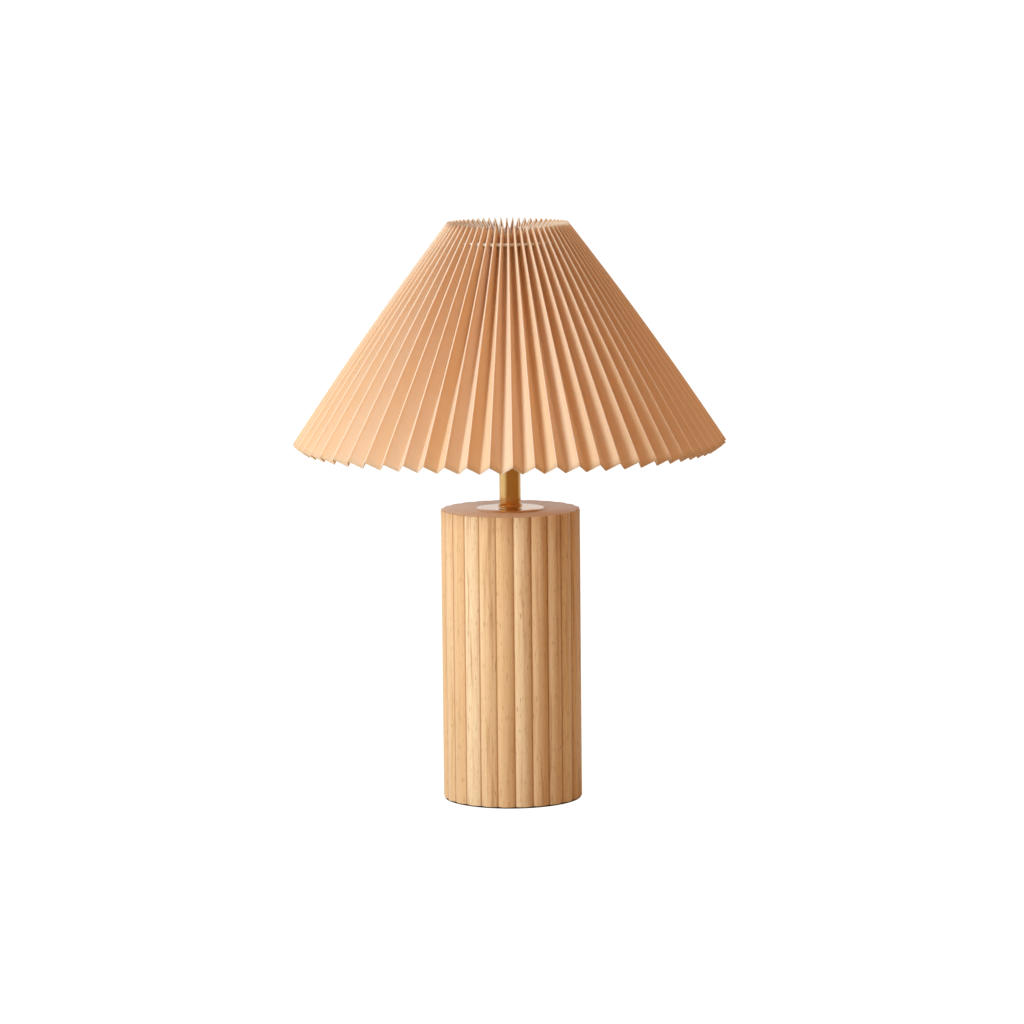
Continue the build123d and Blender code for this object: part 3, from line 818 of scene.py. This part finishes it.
@dataclass
class LampHolder:
    """The holder's cup and threaded sleeve, with its fixed pieces inside, and the ring nut."""

    base: float = 0.3445
    neck_radius: float = 0.009
    neck_height: float = 0.005
    cup_radius: float = 0.0188
    cup_rise: float = 0.012
    cup_height: float = 0.024
    cup_edge: float = 0.0003
    cup_bore: float = 0.00505
    cup_floor: float = 0.009
    ledge_radius: float = 0.0145
    ledge_height: float = 0.013
    core_radius: float = 0.0165
    seat: float = 0.377
    shoulder_radius: float = 0.0225
    shoulder_thickness: float = 0.0025
    sleeve_radius: float = 0.01975
    rim: float = 0.397
    lip_radius: float = 0.0149
    lip_height: float = 0.0015
    thread_pitch: float = 0.003
    thread_depth: float = 0.0006

    def build(self) -> None:
        """Builds the cup and the sleeve, and dresses the pieces that keep their CAD shape."""
        plastic = HOLDER_PLASTIC.material()
        rise = self.cup_rise - self.neck_height
        spread = self.cup_radius - self.neck_radius
        middle = (self.neck_radius, self.base + self.neck_height + rise)
        flare = arc(middle, spread, rise, 0.0, math.pi / 2, 8)
        low = self.base + self.cup_height
        floor, ledge = self.base + self.cup_floor, self.base + self.ledge_height
        cup = turned(
            [
                (self.cup_bore, self.base), (self.neck_radius, self.base), *flare,
                (self.cup_radius, low), (self.core_radius, low), (self.core_radius, ledge),
                (self.ledge_radius, ledge), (self.ledge_radius, floor), (self.cup_bore, floor),
            ],
            96, True,
        )
        soften(cup, self.cup_edge, 50.0)
        finish_piece("holder_cup", cup, Body.STAND, [plastic], ("holder_cap",))

        under = self.seat - self.shoulder_thickness
        lip = self.rim - self.lip_height
        sleeve = turned(
            [
                (self.core_radius, low), (self.cup_radius, low), (self.cup_radius, under),
                (self.shoulder_radius, under), (self.shoulder_radius, self.seat),
                *rows(self.sleeve_radius, self.seat, self.rim, 48),
                (self.lip_radius, self.rim), (self.lip_radius, lip), (self.core_radius, lip),
            ],
            96, True,
        )
        threaded(
            sleeve, self.sleeve_radius, self.seat, self.rim, self.thread_pitch, self.thread_depth
        )
        finish_piece(
            "holder_sleeve", sleeve, Body.STAND, [plastic], ("holder_shell",), 50.0
        )
        dress(["shade_ring"], plastic)
        dress(["holder_core"], CERAMIC.material())
        dress(["socket_shell", "centre_contact", "terminal_screws"], CONTACT_BRASS.material())
        dress(["grub_screw"], ZINC.material())


@dataclass
class PleatedShade:
    """The paper shade: equal folds that open out downwards, held by a drawstring near the top."""

    top_radius: float = 0.0518
    bottom_radius: float = 0.186
    height: float = 0.189
    top: float = 0.4982
    bow: float = 0.0021
    pleat_count: int = 62
    pleat_width: float = 0.014
    fold_radius: float = 0.0007
    crease_radius: float = 0.0004
    paper: float = 0.0006
    along: int = 40
    marks: tuple[float, ...] = (0.0, 0.02, 0.04, 0.06, 0.17, 0.86, 0.94, 0.97, 1.0)
    flat_ends: Point = (0.12, 0.88)
    unevenness: float = 0.0022
    top_unevenness: float = 0.25
    crowding: tuple[Triple, ...] = ((85.0, 22.0, -0.09), (-60.0, 22.0, -0.035))
    swell: float = 0.0005
    swell_scale: Triple = (22, 22, 14)
    string_ring: float = 0.0568
    string_drop: float = 0.0156
    ply_radius: float = 0.0008
    ply_offset: float = 0.00075
    ply_count: int = 3
    string_turns: int = 54
    steps_per_turn: int = 10
    dice: random.Random = field(default_factory=lambda: random.Random(11))

    @property
    def slope(self) -> float:
        """Angle of the shade's side from upright."""
        return math.atan2(self.bottom_radius - self.top_radius, self.height)

    @property
    def spread(self) -> float:
        """Tangent of half a pleat's angle."""
        return math.tan(math.pi / self.pleat_count)

    def depth(self, ridge_radius: float) -> float:
        """Depth of a pleat square to its folds, where the paper between two folds has its width."""
        lean = math.cos(self.slope)
        square = 1 + (lean * self.spread) ** 2
        middle = ridge_radius * lean * self.spread**2
        short = (ridge_radius * self.spread) ** 2 - self.pleat_width**2
        return (middle + math.sqrt(middle**2 - square * short)) / square

    def fold_outline(self, half_width: float, depth: float) -> list[Point]:
        """Works out the paper's outline across half a pleat, round at both of its folds.

        Args:
            half_width: from the outer fold sideways to the inner one.
            depth: from the outer fold inwards to the inner one.

        Returns:
            How far to the side and how deep each point lies, from the outer fold on.
        """
        outer, inner = self.fold_radius, self.crease_radius
        tilt = math.atan2(half_width, depth)
        for _ in range(6):
            side = half_width - (outer + inner) * math.cos(tilt)
            tilt = math.atan2(side, depth - (outer + inner) * (1 - math.sin(tilt)))
        bend = math.pi / 2 - tilt
        ridge = arc((0.0, outer), outer, outer, 0.0, bend, 3)
        notch = [
            (half_width - inner * math.sin(turn), depth - inner + inner * math.cos(turn))
            for turn in (bend, bend / 2, 0.0)
        ]
        start, end = Vector(ridge[-1]), Vector(notch[0])
        flat = [tuple(start.lerp(end, share)) for share in self.flat_ends]
        return ridge + flat + notch

    def section(self, share_down: float) -> list[Vector]:
        """Works out one row of points across half a pleat, whose outer fold lies over the X axis.

        Args:
            share_down: how far down the fold the row lies, from 0 to 1.

        Returns:
            The points, from the outer fold to the inner one.
        """
        level, upright = math.cos(self.slope), math.sin(self.slope)
        out = 4 * self.bow * share_down * (1 - share_down)
        straight = self.top_radius + share_down * (self.bottom_radius - self.top_radius)
        radius = straight + out * level
        height = self.top - share_down * self.height + out * upright
        depth = self.depth(radius)
        half_width = (radius - depth * level) * self.spread
        return [
            Vector((radius - deep * level, side, height - deep * upright))
            for side, deep in self.fold_outline(half_width, depth)
        ]

    def half_pleat(self) -> BMesh:
        """Returns the paper of half a pleat. Its UV says how far across and down a point lies."""
        last = len(self.marks) - 1
        bm = bmesh.new()
        layer = bm.loops.layers.uv.new("pleat")
        bmesh.ops.create_grid(bm, x_segments=last, y_segments=self.along, size=0.5)
        for face in bm.faces:
            for corner in face.loops:
                column = round((corner.vert.co.x + 0.5) * last)
                corner[layer].uv = (self.marks[column], corner.vert.co.y + 0.5)
        for vert in bm.verts:
            vert.co = self.section(vert.co.y + 0.5)[round((vert.co.x + 0.5) * last)]
        return bm

    def relax(self, bm: BMesh) -> None:
        """Lets the folds wander and crowd a little, as on the handmade shade.

        Args:
            bm: all of the paper.
        """
        fold_angle = math.pi / self.pleat_count
        drift = [self.dice.uniform(-1, 1) for _ in range(2 * self.pleat_count)]
        for vert in bm.verts:
            azimuth = math.atan2(vert.co.y, vert.co.x) - FRONT_AZIMUTH
            place = (azimuth / fold_angle) % (2 * self.pleat_count)
            first = math.floor(place)
            share = place - first
            pull = drift[first % len(drift)] * (1 - share) + drift[(first + 1) % len(drift)] * share
            down = max(0.0, (self.top - vert.co.z) / self.height)
            turn = pull * self.unevenness * (self.top_unevenness + (1 - self.top_unevenness) * down)
            degrees = (math.degrees(azimuth) + 180) % 360 - 180
            turn += sum(
                most * math.exp(-(((degrees - middle) / width) ** 2))
                for middle, width, most in self.crowding
            )
            swell = self.swell * noise.noise(vert.co * Vector(self.swell_scale))
            vert.co = Matrix.Rotation(turn, 3, "Z") @ vert.co * (1 + swell)

    def build_paper(self) -> None:
        """Builds the pleated paper from one half pleat, mirrored and repeated round the axis."""
        bm = self.half_pleat()
        bmesh.ops.mirror(bm, geom=bm.verts[:] + bm.edges[:] + bm.faces[:], axis="Y", merge_dist=1e-6)
        to_front = Matrix.Rotation(FRONT_AZIMUTH, 3, "Z")
        bmesh.ops.rotate(bm, verts=bm.verts, cent=(0, 0, 0), matrix=to_front)
        pleat_angle = 2 * math.pi / self.pleat_count
        others, turn = self.pleat_count - 1, 2 * math.pi - pleat_angle
        spin(bm, bm.verts[:] + bm.edges[:] + bm.faces[:], others, turn, True)
        bmesh.ops.remove_doubles(bm, verts=bm.verts, dist=2e-6)
        bmesh.ops.recalc_face_normals(bm, faces=bm.faces)
        self.face_outwards(bm)
        self.relax(bm)
        sides = [PaperFinish().material(), PAPER_LINING.material(), PAPER_EDGE.material()]
        piece = finish_piece(
            "pleated_paper_shade", bm, Body.SHADE, sides, ("shade_pleats",), 60.0
        )
        wall = piece.modifiers.new("paper", "SOLIDIFY")
        wall.thickness = self.paper
        wall.offset = -1.0
        wall.material_offset = 1
        wall.material_offset_rim = 2

    def face_outwards(self, bm: BMesh) -> None:
        """Turns the open sheet's faces so that they look away from the axis."""
        outwards = sum(
            face.normal.dot(Vector((*face.calc_center_median().xy, 0.0))) for face in bm.faces
        )
        if outwards < 0:
            bmesh.ops.reverse_faces(bm, faces=bm.faces)

    def build_string(self) -> None:
        """Builds the drawstring, plies twisted round the ring on which it lies."""
        bm = bmesh.new()
        height = self.top - self.string_drop
        for ply in range(self.ply_count):
            angle = 2 * math.pi * ply / self.ply_count
            out, up = self.ply_offset * math.cos(angle), self.ply_offset * math.sin(angle)
            centre = Vector((self.string_ring + out, 0, height + up))
            place = Matrix.Translation(centre) @ Matrix.Rotation(math.pi / 2, 4, "X")
            bmesh.ops.create_circle(
                bm, cap_ends=False, radius=self.ply_radius, segments=8, matrix=place
            )
        spin(bm, bm.verts[:] + bm.edges[:], self.string_turns * self.steps_per_turn)
        bmesh.ops.remove_doubles(bm, verts=bm.verts, dist=1e-7)
        for vert in bm.verts:
            azimuth = math.atan2(vert.co.y, vert.co.x)
            outwards = Vector((math.cos(azimuth), math.sin(azimuth), 0))
            core = outwards * self.string_ring + Vector((0, 0, height))
            along = Vector((-outwards.y, outwards.x, 0))
            twist = Matrix.Rotation(azimuth * self.string_turns, 3, along)
            vert.co = core + twist @ (vert.co - core)
        bmesh.ops.recalc_face_normals(bm, faces=bm.faces)
        cotton = [TwistedCottonFinish().material()]
        finish_piece(
            "drawstring", bm, Body.SHADE, cotton, ("shade_string",), 80.0
        )

    def build(self) -> None:
        """Builds the paper and the drawstring, and dresses the wire frame."""
        self.build_paper()
        self.build_string()
        wires = [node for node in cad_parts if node.startswith(("frame_", "fitter_"))]
        dress(sorted(wires), WIRE_PAINT.material())


@dataclass
class Bulb:
    """The opal globe, its housing and the screw cap with its contact."""

    top: float = 0.4782
    radius: float = 0.030
    body_top: float = 0.4358
    body_bottom: float = 0.3988
    neck_radius: float = 0.0139
    flare: float = 0.62
    cap_radius: float = 0.01325
    cap_bottom: float = 0.381
    cap_plain: float = 0.0035
    thread_pitch: float = 0.0036
    thread_depth: float = 0.0009

    def body_curve(self, steps: int) -> list[Point]:
        """Works out the housing's outline, a round curve through its flare at half its height.

        Args:
            steps: how many stretches the curve has.

        Returns:
            Radius and height of each point, from the neck up.
        """
        start = Vector((self.neck_radius, self.body_bottom))
        end = Vector((self.radius, self.body_top))
        flared = self.neck_radius + self.flare * (self.radius - self.neck_radius)
        bend = Vector((flared, (self.body_bottom + self.body_top) / 2))
        pull = bend * 2 - (start + end) / 2
        shares = [step / steps for step in range(steps + 1)]
        return [tuple(start.lerp(pull, at).lerp(pull.lerp(end, at), at)) for at in shares]

    def build(self) -> None:
        """Builds the bulb's globe, housing and cap, and dresses its insulator and contact."""
        middle = (0.0, self.top - self.radius)
        dome = arc(middle, self.radius, self.radius, math.pi / 2, math.pi, 20)
        globe = turned([(0.0, self.body_top), (self.radius, self.body_top), *dome], 96)
        finish_piece(
            "bulb_opal_globe", globe, Body.BULB, [OPAL.material()], ("bulb_globe",)
        )
        outline = [(0.0, self.body_bottom), *self.body_curve(16), (0.0, self.body_top)]
        plastic = [BULB_PLASTIC.material()]
        finish_piece(
            "bulb_white_housing", turned(outline, 96), Body.BULB, plastic,
            ("bulb_housing",),
        )
        outside = rows(self.cap_radius, self.cap_bottom, self.body_bottom, 48)
        cap = turned([(0.0, self.cap_bottom), *outside, (0.0, self.body_bottom)], 96)
        threaded(
            cap, self.cap_radius, self.cap_bottom, self.body_bottom - self.cap_plain,
            self.thread_pitch, self.thread_depth,
        )
        nickel = [NICKEL.material()]
        finish_piece("bulb_screw_cap", cap, Body.BULB, nickel, ("bulb_cap",), 60.0)
        dress(["bulb_insulator"], BLACK_GLASS.material())
        dress(["bulb_contact"], NICKEL.material())


# ---- studio


@dataclass
class Studio:
    """The surround, the white floor, the soft key light from the left and the camera."""

    distance: float = 4.2
    camera_height: float = 0.807
    lens: float = 173.14
    sensor: float = 36.0
    pitch: float = math.radians(7.58)
    roll: float = math.radians(0.55)
    azimuth: float = math.radians(5.2)
    side_shift: float = 0.00148
    key_power: float = 53.0
    key_size: float = 1.0
    key_place: Triple = (-1.62, -1.63, 0.95)
    key_colour: Colour = (0.80, 0.96, 1.0)
    key_aim: float = 0.28
    room_light: Colour = (0.60, 0.35, 0.15)
    window_light: Colour = (0.80, 0.77, 0.72)
    room_gloss: Colour = (0.36, 0.19, 0.07)
    window_gloss: Colour = WHITE
    window_sides: tuple[Triple, ...] = (
        (-0.40, -1.0, 1.0), (0.1, 0.8, 0.7), (0.35, 1.0, 0.8)
    )
    floor_size: float = 60.0
    floor_bounce: Colour = (0.50, 0.38, 0.27)
    floor_pale: Colour = (0.22, 0.22, 0.22)
    floor_white: float = 0.96

    def rays(self, g: Graph, kind: str) -> Socket:
        """Returns 1 for rays of one kind, as Light Path names it."""
        return g.add("LightPath").outputs[kind]

    def surround(self, g: Graph, from_lamp: Socket, room: Colour, window: Colour) -> Socket:
        """Works out the studio's colour in a direction: bright at the left, behind and above.

        Args:
            g: the graph that asks.
            from_lamp: a vector that points away from the lamp.
            room: the colour in front and at the right.
            window: the colour at the left, behind and above.

        Returns:
            The colour.
        """
        unit = g.put_in_order(g.add("VectorMath", {"operation": "NORMALIZE"}), from_lamp)
        left, behind, above = (
            g.remap(part, start, full, 0.0, most)
            for part, (start, full, most) in zip(g.split(unit), self.window_sides)
        )
        share = g.math("MAXIMUM", g.math("MAXIMUM", left, behind), above)
        return g.mix(share, room, window)

    def build_world(self) -> None:
        """Surrounds the lamp with a dim warm room and a pale window, which show as plain white."""
        world = bpy.data.worlds.new("studio")
        bpy.context.scene.world = world
        g = Graph(world, "OutputWorld")
        direction = g.add("TexCoord").outputs["Generated"]
        light = self.surround(g, direction, self.room_light, self.window_light)
        mirrored = self.surround(g, direction, self.room_gloss, self.window_gloss)
        fill, gloss, shown = (
            g.add("Background", Color=colour).outputs[0] for colour in (light, mirrored, WHITE)
        )
        lit = g.blend(self.rays(g, "Is Glossy Ray"), fill, gloss)
        g.show(g.blend(self.rays(g, "Is Camera Ray"), lit, shown))

    def build_floor(self) -> None:
        """Makes the pale floor, which shows white but keeps the lamp's soft shadow."""
        bm = bmesh.new()
        bmesh.ops.create_grid(bm, x_segments=1, y_segments=1, size=self.floor_size / 2)
        floor = in_scene("studio_floor", mesh_of("studio_floor", bm))
        g = Graph(bpy.data.materials.new("floor_white"))
        lit = g.add("BsdfDiffuse", Color=self.floor_bounce).outputs[0]
        mirrored = self.surround(g, g.place(), self.room_gloss, self.window_gloss)
        gloss = g.add("Emission", Color=mirrored).outputs[0]
        bounce = g.blend(self.rays(g, "Is Glossy Ray"), lit, gloss)
        pale = g.add("BsdfDiffuse", Color=self.floor_pale).outputs[0]
        white = g.add("Emission", Color=WHITE, Strength=self.floor_white).outputs[0]
        shown = g.put_in_order(g.add("AddShader"), pale, white)
        g.show(g.blend(self.rays(g, "Is Camera Ray"), bounce, shown))
        floor.data.materials.append(g.owner)

    def build_key(self) -> None:
        """Hangs the soft key light at the left and aims it at the lamp."""
        light = bpy.data.lights.new("key", "AREA")
        light.shape = "SQUARE"
        light.size = self.key_size
        light.energy = self.key_power
        light.color = self.key_colour
        lamp = in_scene("key", light)
        place = Vector(self.key_place)
        lamp.location = place
        lamp.visible_glossy = False
        aim = Vector((0, 0, self.key_aim)) - place
        lamp.rotation_euler = aim.to_track_quat("-Z", "Y").to_euler()

    def build_camera(self) -> None:
        """Sets the camera at the photograph's angle."""
        data = bpy.data.cameras.new("camera")
        data.lens = self.lens
        data.sensor_width = self.sensor
        camera = in_scene("camera", data)
        round_lamp = Matrix.Rotation(self.azimuth, 4, "Z")
        back_up = Matrix.Translation((self.side_shift, -self.distance, self.camera_height))
        tip = Matrix.Rotation(math.pi / 2 - self.pitch, 4, "X") @ Matrix.Rotation(-self.roll, 4, "Z")
        camera.matrix_world = round_lamp @ back_up @ tip
        bpy.context.scene.camera = camera

    def build(self) -> None:
        """Builds the studio."""
        self.build_world()
        self.build_floor()
        self.build_key()
        self.build_camera()
        bpy.context.scene.view_settings.view_transform = "Standard"


def main() -> None:
    """Builds the lamp piece by piece, then the studio."""
    logging.basicConfig(level=logging.INFO, format="%(name)s %(message)s")
    for part in (ReededColumn(), BrassStem(), LampHolder(), PleatedShade(), Bulb(), Studio()):
        part.build()


if __name__ == "__main__":
    main()
